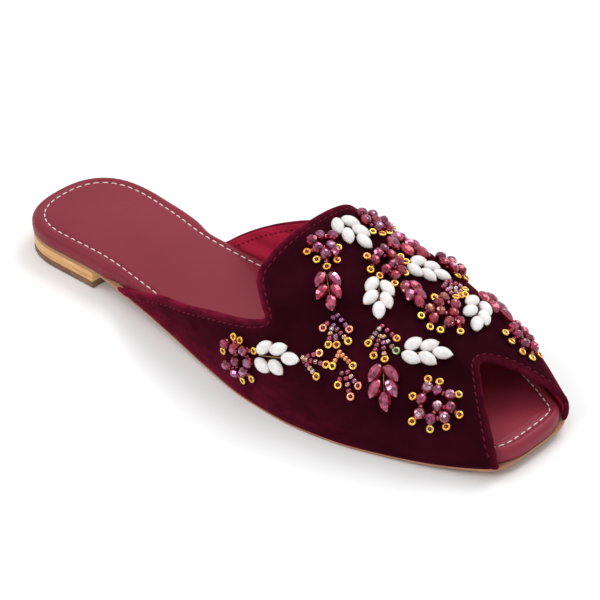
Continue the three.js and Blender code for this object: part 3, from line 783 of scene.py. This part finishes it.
def build_upper():
    closer = [np.linspace(*notch, NOTCH_COLUMNS) for notch in NOTCHES]
    v = np.unique(np.concatenate([np.linspace(0, 1, COLUMNS), *closer]))
    start, end = smooth(TOPLINE, "x", v), smooth(PEEP, "x", v)
    span = end - start

    def reach(edge):
        slope = np.abs(np.gradient(edge, v)) / girth(edge)
        return np.minimum(EDGE_REACH * np.sqrt(1 + slope * slope), span * MOST_REACH)

    first, last = reach(start), reach(end)
    k = (np.arange(EDGE_ROWS + 1) / EDGE_ROWS)[:, None] ** EDGE_POWER
    head = start + first * k
    tail = end - last * k[::-1]
    m = (np.arange(1, BODY_ROWS) / BODY_ROWS)[:, None]
    body = (start + first) * (1 - m) + (end - last) * m
    x = np.concatenate([head, body, tail])
    vv = np.broadcast_to(v, x.shape)
    skin, out = pick(SKIN, x, vv), pick(OUT, x, vv)
    out = out / np.linalg.norm(out, axis=-1, keepdims=True)
    d = edge_distance(skin.reshape(-1, 3)).reshape(x.shape)
    d[0], d[-1] = 0, 0
    rim = rounded(d, RIM)
    g = girth(x)
    s = vv * g
    low = np.minimum(s, g - s)
    outer = skin + out * relief(x, vv, d, low, g, rim)[..., None]
    inner = skin + out * (-WALL + rim)[..., None]
    inner = inner[::-1]
    outer[..., 2] -= TO_SOLE * np.clip(1 - low / 2.5, 0, 1) ** 2
    sheet = np.concatenate([outer, inner[1:-1]])
    # Painted sheen for the velvet's tint layer, carried on the outer and inner skin alike.
    lit = painted_sheen_share(x, d, low)
    lit = np.concatenate([lit, lit[::-1][1:-1]])
    tints = np.stack([lit, lit, lit, np.ones_like(lit)], -1).reshape(-1, 4)
    rows, cols = sheet.shape[:2]
    faces, kinds = [], []
    outer_rows = len(outer)
    for i in range(rows):
        j = (i + 1) % rows
        inside = outer_rows - 1 + VELVET_BACK <= i < rows - VELVET_BACK
        for c in range(cols - 1):
            faces.append((i * cols + c, j * cols + c, j * cols + c + 1, i * cols + c + 1))
            kinds.append(1 if inside else 0)
    for c in (0, cols - 1):
        for i in range(outer_rows - 1):
            a, b = i, i + 1
            p, q = (rows - a) % rows, rows - b
            quad = [a * cols + c, p * cols + c, q * cols + c, b * cols + c]
            quad = [f for n, f in enumerate(quad) if f not in quad[:n]]
            if len(quad) < 3:
                continue
            faces.append(tuple(quad if c == 0 else quad[::-1]))
            kinds.append(0)
    make(
        "upper_velvet", row(sheet.reshape(-1, 3)), faces, [VELVET, SATIN], ["upper"], indices=kinds,
        tints=tints,
    )


def seam_path(key, outward):
    """The stitch line beside an edge: points kept the seam's distance away, with their normals."""
    x, v = EDGES[key]
    g = girth(x)
    stretch = np.linalg.norm(pick(AHEAD, x, v), axis=-1)
    tx, ts = np.gradient(x) * stretch, np.gradient(v) * g
    norm = np.hypot(tx, ts)
    nx, ns = ts / norm, -tx / norm
    sx = x + outward * SEAM * nx / stretch
    sv = v + outward * SEAM * ns / g
    good = (sv > SEAM_ENDS[0]) & (sv < SEAM_ENDS[1])
    sx, sv = sx[good], sv[good]
    points = pick(SKIN, sx, sv)
    keep = edge_distance(points) > SEAM - SEAM_SPARE
    return points[keep], pick(OUT, sx[keep], sv[keep])


def build_seams():
    for key, outward in (("topline", 1), ("peep", -1)):
        points, out = seam_path(key, outward)
        sunk = points + out * -SEAM_DEPTH
        stitches(sunk, out, SEAM_RED, key + "_stitching", "upper", **SEAM_STITCH)
        back = points - out * (WALL + 0.02)
        stitches(back, -out, SEAM_RED, key + "_stitching_inside", "upper", **SEAM_STITCH_INSIDE)


# Beads


def lathe(profile, sides):
    """A bead turned about Z from rows of (radius, height), in mm."""
    verts = []
    for r, h in profile:
        for q in range(sides):
            a = 2 * math.pi * q / sides
            verts.append((r * math.cos(a), r * math.sin(a), h))
    return np.array(verts), tube_faces(len(profile), sides)


def torus(major, minor, sides, tube):
    verts, faces = [], []
    for q in range(sides):
        a = 2 * math.pi * q / sides
        for t in range(tube):
            b = 2 * math.pi * t / tube
            r = major + minor * math.cos(b)
            verts.append((r * math.cos(a), r * math.sin(a), minor * math.sin(b)))
    for q in range(sides):
        for t in range(tube):
            a, b = q * tube + t, ((q + 1) % sides) * tube + t
            c, d = ((q + 1) % sides) * tube + (t + 1) % tube, q * tube + (t + 1) % tube
            faces.append((a, b, c, d))
    return np.array(verts), faces


CRYSTAL = lathe(
    [(0.4, -1.4), (0.75, -1.75), (1.65, -1.3), (2.15, -0.5),
     (2.15, 0.5), (1.65, 1.3), (0.75, 1.75), (0.4, 1.4)], 9,
)
RING = torus(1.14, 0.5, 18, 8)
HEART = lathe([(0.05, -0.6), (0.5, -0.5), (0.68, 0), (0.5, 0.5), (0.1, 0.6)], 8)
HOLE = lathe([(0.12, -0.3), (0.42, -0.1), (0.42, 0.12), (0.15, 0.25)], 8)
SEED = lathe([(0.3, -0.6), (0.7, -0.78), (0.98, -0.4), (1.02, 0), (0.98, 0.4), (0.7, 0.78), (0.3, 0.6)], 10)
# A leaf bead's radius along its length, as (along, radius)
LEAF_ROWS = [
    (-4.0, 0.35), (-3.7, 1.0), (-3.0, 1.75), (-2.0, 2.3), (-0.7, 2.6),
    (0.6, 2.55), (1.9, 2.15), (2.9, 1.5), (3.6, 0.8), (4.0, 0.25),
]


def leaf_bead(sides, flat):
    profile = [(r, h) for h, r in LEAF_ROWS]
    verts, faces = lathe(profile, sides)
    verts = verts[:, [2, 1, 0]] * np.array([1, 1, flat])
    return verts, [f[::-1] for f in faces]


LEAF_END = 3.95
WHITE_LEAF = leaf_bead(16, 0.8)
RED_LEAF = leaf_bead(8, 0.82)


# Share of "up" at which a bead's painted highlight, its face colour, starts
HIGHLIGHT_START = 0.45


class Motif:
    """Collects the beads of one motif into one mesh, with a material and a tint for each bead."""

    def __init__(self, name, slot):
        self.name, self.slot = name, slot
        self.verts, self.faces, self.kinds, self.flags, self.tints = [], [], [], [], []
        self.materials = []

    def add(self, bead, at, axes, mat, tint, smooth_bead, scale=1.0, rim=None, up=None, lengthwise=False):
        """One bead: its colour is the tint; given a rim colour, the tint is a painted highlight on the side
        turned up and runs over into the rim colour below.
        """
        verts, faces = bead
        base = len(self.verts)
        ax, ay, az = (np.array(a) for a in axes)
        where = np.array(at)
        for x, y, z in verts:
            spot = ax * x + ay * y + az * z
            self.verts.append(where + spot * (MM * scale))
            share = 1
            if rim is not None:
                around = ay * y + az * z if lengthwise else spot
                share = min(1, max(0, (float(around @ up) / (np.linalg.norm(around) + 0.01) - HIGHLIGHT_START) / HIGHLIGHT_START))
            edge = rim or tint
            self.tints.append((*(a * (1 - share) + b * share for a, b in zip(edge, tint)), 1))
        if mat not in self.materials:
            self.materials.append(mat)
        index = self.materials.index(mat)
        for f in faces:
            self.faces.append(tuple(base + i for i in f))
            self.kinds.append(index)
            self.flags.append(smooth_bead)

    def string(self, a, b, radius=0.17):
        a, b = Vector(a), Vector(b)
        axis = (b - a).normalized()
        side = axis.orthogonal().normalized()
        other = axis.cross(side)
        length = (b - a).length / MM
        rod = lathe([(radius, 0), (radius, length / 3), (radius, 2 * length / 3), (radius, length)], 6)
        self.add(rod, a, (side, other, axis), GOLD_THREAD, (1, 1, 1), True)

    def done(self):
        make(
            self.name + "_beads", self.verts, self.faces, self.materials, [self.name],
            shading=self.flags, indices=self.kinds, tints=self.tints,
        )


def hue(base, spread=0.12):
    k = 1 + rng.uniform(-spread, spread)
    return tuple(min(1, max(0, c * k + rng.uniform(-spread, spread) * 0.12)) for c in base)


# In crystals and red leaves these tones are the painted highlight on the side turned up, over the RUBY, PLUM
# and RED_LEAF_RIM rim colours.
LILAC = [(0.5, 0.1, 0.3), (0.62, 0.28, 0.5), (0.46, 0.03, 0.13), (0.55, 0.06, 0.2)]
CRIMSON = [(0.62, 0.015, 0.09), (0.66, 0.06, 0.19), (0.55, 0.12, 0.28), (0.5, 0.008, 0.05)]
PEACH = [(0.72, 0.11, 0.09), (0.6, 0.02, 0.06), (0.82, 0.28, 0.15), (0.6, 0.05, 0.13)]
SILVER = [(0.64, 0.32, 0.48), (0.86, 0.68, 0.74), (0.52, 0.1, 0.26)]
RUBY = (0.5, 0.004, 0.045)
PLUM = (0.33, 0.006, 0.075)
GOLD = [(1.0, 0.51, 0.04), (1.0, 0.41, 0.04), (1.0, 0.61, 0.08)]
PINK_GOLD = [(1.0, 0.38, 0.15), (0.95, 0.3, 0.17)]
RED_LEAF_TONES = [(0.64, 0.1, 0.24), (0.66, 0.03, 0.12), (0.6, 0.2, 0.38)]
RED_LEAF_RIM = (0.58, 0.004, 0.05)
WHITE = (0.86, 0.8, 0.79)
HEART_RED = (0.26, 0.005, 0.034)
FILLER_RED = (0.6, 0.01, 0.07)
GREEN = [(0.35, 0.5, 0.2)]
SEED_TONES = {
    "lilac": [
        (0.44, 0.12, 0.26), (0.55, 0.04, 0.14), (0.72, 0.4, 0.28), (0.58, 0.03, 0.12), (0.36, 0.1, 0.34),
    ],
    "orange": [(0.7, 0.24, 0.07), (0.6, 0.16, 0.06), (0.78, 0.36, 0.12)],
    "silver": [(0.7, 0.56, 0.56), (0.48, 0.2, 0.34), (0.6, 0.05, 0.17), (0.74, 0.48, 0.28)],
    "red": [(0.62, 0.02, 0.1), (0.66, 0.16, 0.26), (0.74, 0.56, 0.56), (0.52, 0.03, 0.13)],
}

# How high each kind of bead's middle lies over the velvet
CRYSTAL_LIFT = 2.15
TIP_LIFT = 1.35
SEED_LIFT = 1.15
LEAF_LIFT = 1.95
KNOT_LIFT = 0.5

# Ranges of the beads' chance turns in degrees, rises in mm and scales
CRYSTAL_RISE = (-0.1, 0.25)
CRYSTAL_LEAN = (20, 80)
CRYSTAL_SIZE = (1.0, 1.08)
RING_LEAN = (-16, 16)
LEAF_TURN = (-4, 4)
LEAF_ROLL = (-12, 12)

# Scales of the beads. A red sprig's leaves follow its size down to the least one.
RING_SIZE = 0.98
HEART_SIZE = 0.95
FILLER_SIZE = 0.9
SEED_SIZE = 1.1
LEAF_SIZE = 0.96
LEAST_RED_LEAF = 0.82

# Crystals nearer to each other than this get a small seed between them
FILLED = 5.4

# Crystals and ring tips as (ahead, across) from the motif's middle, in mm on the velvet
FLOWERS = [
    {"name": "flower_1", "x": 149, "v": 0.473, "tones": LILAC,
     "crystals": [(1.2, 2.2), (-2.2, -1), (3.8, -1.8), (1, -5.8), (5.2, -6.2), (-2.8, -4.8), (7, -3)],
     "tips": [(6.1, -0.1), (9.6, -4.9), (-1.3, -9.2), (3.7, -9.6), (8.6, -9.6)]},
    {"name": "flower_2", "x": 140, "v": 0.096, "tones": LILAC,
     "crystals": [(-5.2, 4), (-0.2, 4.5), (4.5, 5.8), (8, 2.8), (1.5, 0.3), (-2.5, -3.2), (6.6, -1.5),
                  (2.2, -4.2)],
     "tips": [(-2.5, 8), (1, 8.3), (8.5, 7.6), (10, -3.2), (5.4, -6.2), (-6.6, 0)]},
    {"name": "flower_3", "x": 170.9, "v": 0.533, "tones": CRIMSON,
     "crystals": [(-5.6, 3.2), (-1.8, 3.2), (2, 3.2), (-5, -0.6), (-3.5, -4), (2, -4), (5.8, 0.5), (6, -3.5),
                  (2, -0.3)],
     "tips": [(0.3, 6.6), (3.3, 6.3), (-7.3, -4.2), (-2, -8), (2.2, -7.6), (8.2, -5.9), (7.2, 1.6)]},
    {"name": "flower_4", "x": 197.4, "v": 0.536, "tones": PEACH,
     "crystals": [(-3.8, 3.9), (-3, 0.1), (1.2, 5), (3.4, 1.8), (7.6, 0.4), (5.5, -3.5), (-3, -4.9),
                  (0.8, -6.8), (0.2, -2.2)],
     "tips": [(-6.2, 1.6), (-3.2, -9), (2.4, -10.4), (5.8, -8.4), (10.8, -2.2)]},
    {"name": "flower_5", "x": 152.5, "v": 0.612, "tones": LILAC + CRIMSON,
     "crystals": [(-4.7, -0.3), (-0.9, -2.8), (-3, 4), (0.9, 1.2), (4, -1), (1.5, 5.2), (5.6, 3)],
     "tips": [(4.6, -4.6), (7.2, -2), (7.5, 1.7), (-7.3, 3.2), (4.6, 8)]},
    {"name": "flower_6", "x": 180, "v": 0.712, "tones": CRIMSON,
     "crystals": [(-3.6, -2.2), (-0.4, -4.2), (0, 0), (3.4, -2.4), (-2.6, 3.8), (1.8, 4.4), (4.6, 1.6)],
     "tips": [(6.8, -2.4), (8.4, 1.2), (5.4, 6.4), (-0.6, 8.2), (-6.4, 1.6)]},
    {"name": "flower_7", "x": 220, "v": 0.735, "tones": CRIMSON,
     "crystals": [(-4.6, -2.6), (-6.2, 1), (-2.4, 1.8), (-1, -3), (3.2, -2.4), (1.6, 1.6), (5.6, 1)],
     "tips": [(-4.2, -6.6), (0.2, -7), (5.8, -5.6), (9.4, -2.4), (8.4, 4), (2.6, 5.6), (-3.6, 5.6)]},
    {"name": "star", "x": 220.4, "v": 0.235, "tones": SILVER,
     "crystals": [(0.7, -0.6), (-2.8, 4.2), (1.8, 5.2), (5, 1), (5.2, -3.3), (1.1, -5.6), (-3.4, -5.3),
                  (-5.6, -0.8), (-6.4, 3.6)],
     "tips": [(-4.5, 8), (-8.4, 6.6), (4, 7.6), (9, 0.3), (7.4, -6.2), (2.5, -9), (-4.8, -8.6), (-9.2, -1)]},
]
# The five leaves of a sprig: along it, to its left, and the turn in degrees
SPRIG = [(3.4, 2.6, 35), (2.6, -3.4, -32), (9.2, 2.5, 22), (8.5, -3.6, -34), (14, -0.3, 0)]
SPRIG_KNOTS = (0, 4.6, 10.2)
# Node, x, v, heading in degrees and size
SPRIGS = [
    ("white_sprig_1", 146, 0.544, -5, 1), ("white_sprig_2", 150.4, 0.141, 20, 1.1),
    ("white_sprig_3", 174.8, 0.471, -52, 1), ("white_sprig_4", 199.2, 0.339, 37, 1),
    ("white_sprig_5", 175.3, 0.578, 37, 0.94), ("white_sprig_6", 200.8, 0.677, -52, 1),
    ("red_sprig_1", 159.1, 0.397, -44, 0.9), ("red_sprig_2", 197.3, 0.269, -57, 1),
    ("red_sprig_3", 181.5, 0.523, -22, 0.7), ("red_sprig_4", 161.9, 0.604, 27, 0.95),
    ("red_sprig_5", 196.5, 0.728, 8, 0.95),
]
# Arms of seeds that end in a ring: ahead, across, ahead and across of the end, seed tones, ring tones
SPRAYS = [
    {"name": "seed_spray_1", "x": 174.2, "v": 0.294, "arms": [
        (-2, 4, 4.8, 1.8, "lilac", PINK_GOLD), (-0.9, 0, 7.2, -2.3, "lilac", GOLD),
        (-0.9, -1.4, 1.4, -7, "silver", GOLD), (-2.9, 2.4, -3.9, -2.7, "lilac", PINK_GOLD),
        (2, -3, 4.2, -5.6, "silver", GOLD),
        (6.7, -7.5, 13.9, -9.6, "orange", GOLD), (6.8, -9, 6.9, -13.2, "orange", GOLD),
        (11.6, -14, 12.2, -18.6, "lilac", GOLD), (13.4, -12.6, 19.3, -15.6, "silver", PINK_GOLD),
        (14, -15, 18.4, -20.6, "lilac", PINK_GOLD), (-5.1, -15.4, 0, -11.2, "lilac", PINK_GOLD),
        (-3.6, -15.4, 4.4, -13.8, "lilac", GOLD), (-4, -16.2, 2.8, -19.2, "silver", GOLD)]},
    {"name": "seed_spray_2", "x": 191, "v": 0.331, "arms": [
        (-3.6, 4.3, 3.6, 3.6, "lilac", GOLD), (-0.4, 1.3, 6.6, -0.8, "silver", GREEN),
        (0.9, -0.9, 5.2, -6, "silver", GOLD), (-1.6, 0.6, 1, -6.9, "lilac", GOLD),
        (-3.8, 2.8, -3.5, -3.9, "silver", GOLD)]},
    {"name": "seed_spray_3", "x": 192.1, "v": 0.636, "arms": [
        (-3.9, -1.4, 4.2, 1.6, "red", GOLD), (-3.1, -2.8, 3.8, -0.8, "silver", GOLD),
        (-2.6, -4.4, 3.6, -3.6, "red", GOLD), (-3.6, 0.6, 1.6, 4.2, "red", GOLD)]},
]
SEED_PITCH = 1.75
ARM_SPARE = 1.2
RING_ROOM = 2.3


def turned(ways, degrees):
    """Directions on the velvet, turned about the outward one."""
    forward, side, out = ways
    a = math.radians(degrees)
    ahead = forward * math.cos(a) + side * math.sin(a)
    return ahead, out.cross(ahead), out


def tilted(ways, degrees):
    """Directions on the velvet, tilted about the first one."""
    a, b, c = ways
    tilt = Matrix.Rotation(math.radians(degrees), 3, a)
    return a, tilt @ b, tilt @ c


def ring_bead(motif, at, ways, gold):
    lean = rng.uniform(*RING_LEAN)
    ways = tilted(turned(ways, rng.uniform(0, 360)), lean)
    motif.add(RING, at, ways, METAL, hue(rng.choice(gold)), True, RING_SIZE)
    motif.add(HEART, at, ways, GLASS, hue(HEART_RED, 0.3), False, HEART_SIZE)


def small_seed(motif, x, v, ahead, across):
    at, ways = seat(x, v, ahead, across, SEED_LIFT)
    motif.add(SEED, at, turned(ways, rng.uniform(0, 360)), GLASS, hue(FILLER_RED, 0.25), True, FILLER_SIZE)


def build_flower(name, x, v, tones, crystals, tips):
    motif = Motif(name, "crystals")
    seats = []
    for ahead, across in crystals:
        lift = CRYSTAL_LIFT + rng.uniform(*CRYSTAL_RISE)
        at, ways = seat(x, v, ahead, across, lift)
        seats.append(at)
        axes = turned(ways, rng.uniform(0, 360))
        up = np.array(axes[2])
        if name != "star":
            axes = tilted(axes, rng.uniform(*CRYSTAL_LEAN))
        rim = rng.choice((RUBY, PLUM))
        motif.add(
            CRYSTAL, at, axes, GLASS, hue(rng.choice(tones)), False,
            rng.uniform(*CRYSTAL_SIZE), rim, up,
        )
    for ahead, across in tips:
        at, ways = seat(x, v, ahead, across, TIP_LIFT)
        ring_bead(motif, at, ways, GOLD)
        near = min(crystals, key=lambda c: math.hypot(c[0] - ahead, c[1] - across))
        motif.string(seats[crystals.index(near)], at)
        small_seed(motif, x, v, (ahead + near[0]) / 2, (across + near[1]) / 2)
    for k, first in enumerate(crystals):
        for other in crystals[k + 1:]:
            if math.dist(first, other) < FILLED:
                small_seed(motif, x, v, (first[0] + other[0]) / 2, (first[1] + other[1]) / 2)
    motif.done()


def build_sprig(name, x, v, heading, size):
    white = name.startswith("white")
    motif = Motif(name, "white_beads" if white else "red_beads")
    h = math.radians(heading)
    knots = []

    def place(along, left, lift):
        ahead = along * math.cos(h) - left * math.sin(h)
        across = along * math.sin(h) + left * math.cos(h)
        return seat(x, v, ahead * size, across * size, lift)

    for along, left, turn in SPRIG:
        at, ways = place(along, left, LEAF_LIFT)
        a, b, c = turned(ways, heading + turn + rng.uniform(*LEAF_TURN))
        axes = tilted((a, b, c), rng.uniform(*LEAF_ROLL))
        if white:
            scale = min(size, 1) * LEAF_SIZE
            motif.add(WHITE_LEAF, at, axes, PEARL, hue(WHITE, 0.03), True, scale)
            for end in (-1, 1):
                tip = at + a * (end * LEAF_END * scale * MM)
                motif.add(HOLE, tip, (b, c, a * end), GOLD_THREAD, (1, 1, 1), True)
        else:
            scale = max(size, LEAST_RED_LEAF) * LEAF_SIZE
            tint = hue(rng.choice(RED_LEAF_TONES))
            motif.add(RED_LEAF, at, axes, GLASS, tint, False, scale, RED_LEAF_RIM, np.array(c), True)
    for along in SPRIG_KNOTS:
        knots.append(place(along, -0.4, KNOT_LIFT)[0])
    for p, q in zip(knots, knots[1:]):
        motif.string(p, q, 0.22)
    motif.done()


def build_spray(name, x, v, arms):
    motif = Motif(name, "ring_beads")
    for ahead, across, end_ahead, end_across, tone, gold in arms:
        length = math.hypot(end_ahead - ahead, end_across - across)
        direction = math.degrees(math.atan2(end_across - across, end_ahead - ahead))
        count = max(2, round((length - ARM_SPARE) / SEED_PITCH))
        for k in range(count):
            s = k * (length - RING_ROOM) / (count - 1) / length
            on_ahead, on_across = ahead + (end_ahead - ahead) * s, across + (end_across - across) * s
            at, ways = seat(x, v, on_ahead, on_across, SEED_LIFT)
            a, b, c = turned(ways, direction)
            look = METAL if tone == "orange" else GLASS
            motif.add(SEED, at, (b, c, a), look, hue(rng.choice(SEED_TONES[tone])), True, SEED_SIZE)
        at, ways = seat(x, v, end_ahead, end_across, TIP_LIFT)
        ring_bead(motif, at, ways, gold)
    motif.done()


# Build

build_outsole()
build_heel()
build_footbed()
build_bed_stitches()
build_upper()
build_seams()
for data in FLOWERS:
    build_flower(**data)
for entry in SPRIGS:
    build_sprig(*entry)
for data in SPRAYS:
    build_spray(**data)

# Floor, light and camera


FLOOR_HALF = 6.0


def build_floor():
    m, tree, shader = material("studio_floor", (0.92, 0.92, 0.92), 0.8, Specular_IOR_Level=0.1)
    paint(tree, shader, noise(tree, 3, 2), [(0.3, (0.91, 0.91, 0.91)), (0.7, (0.93, 0.93, 0.93))])
    mesh = bpy.data.meshes.new("floor")
    corners = [(FLOOR_HALF * x, FLOOR_HALF * y, 0) for x, y in ((-1, -1), (1, -1), (1, 1), (-1, 1))]
    mesh.from_pydata(corners, [], [(0, 1, 2, 3)])
    mesh.materials.append(m)
    floor = add_object("floor", mesh)


def area_light(name, place, target, size, power):
    data = bpy.data.lights.new(name, "AREA")
    data.shape, data.size, data.energy = "SQUARE", size, power
    lamp = add_object(name, data)
    lamp.location = place
    lamp.rotation_euler = (Vector(target) - Vector(place)).to_track_quat("-Z", "Y").to_euler()


# The photo's view: degrees, mm in the last's frame, pixels a mm at the target, pixels it lies too low
CAMERA = {
    "azimuth": 41.5, "elevation": 34, "distance": 1186, "scale": 2.591,
    "target": (138.3, -5.9, 9.9), "drop": 30,
}
IMAGE = 600
SENSOR = 36
# Name, place and target in metres, side in metres and power in watts
LIGHTS = [
    ("key", (0.1, 0.9, 1.1), (0, 0, 0), 0.9, 8),
    ("front", (0.05, -1.1, 0.9), (0.03, 0, 0.02), 0.35, 3.0),
    ("left", (-0.9, -0.5, 0.8), (0, 0, 0.02), 0.25, 1.5),
    ("spark", (0.35, -0.6, 1.2), (0, 0, 0.03), 0.12, 1.0),
    ("spark_back", (-0.3, 0.8, 0.9), (0, 0, 0.03), 0.12, 0.8),
]


def build_camera():
    a, e = math.radians(CAMERA["azimuth"]), math.radians(CAMERA["elevation"])
    back = Vector((math.sin(a) * math.cos(e), -math.cos(a) * math.cos(e), math.sin(e)))
    right = Vector((math.cos(a), math.sin(a), 0))
    up = back.cross(right)
    focal = CAMERA["scale"] * CAMERA["distance"]
    drop = -CAMERA["drop"] / CAMERA["scale"]
    place = Vector(CAMERA["target"]) - (up * drop - back * CAMERA["distance"])
    data = bpy.data.cameras.new("camera")
    data.sensor_width = SENSOR
    data.lens = focal / IMAGE * SENSOR
    data.clip_start, data.clip_end = 0.05, 50
    cam = add_object("camera", data)
    m = Matrix((right, up, back)).transposed().to_4x4()
    m.translation = Vector(row(place))
    cam.matrix_world = m
    bpy.context.scene.camera = cam


def build_light():
    world = bpy.data.worlds.new("studio")
    world.use_nodes = True
    tree = world.node_tree
    coords = node(tree, "TexCoord")
    height = node(tree, "SeparateXYZ", {"Vector": coords.outputs["Generated"]})
    sky = ramp(tree, height.outputs["Z"], [(0.0, (0.62, 0.62, 0.62)), (0.7, (1, 1, 1))])
    background = tree.nodes["Background"]
    tree.links.new(sky, background.inputs["Color"])
    background.inputs["Strength"].default_value = 0.86
    bpy.context.scene.world = world
    bpy.context.scene.view_settings.view_transform = "Standard"
    for light in LIGHTS:
        area_light(*light)


build_floor()
build_camera()
build_light()
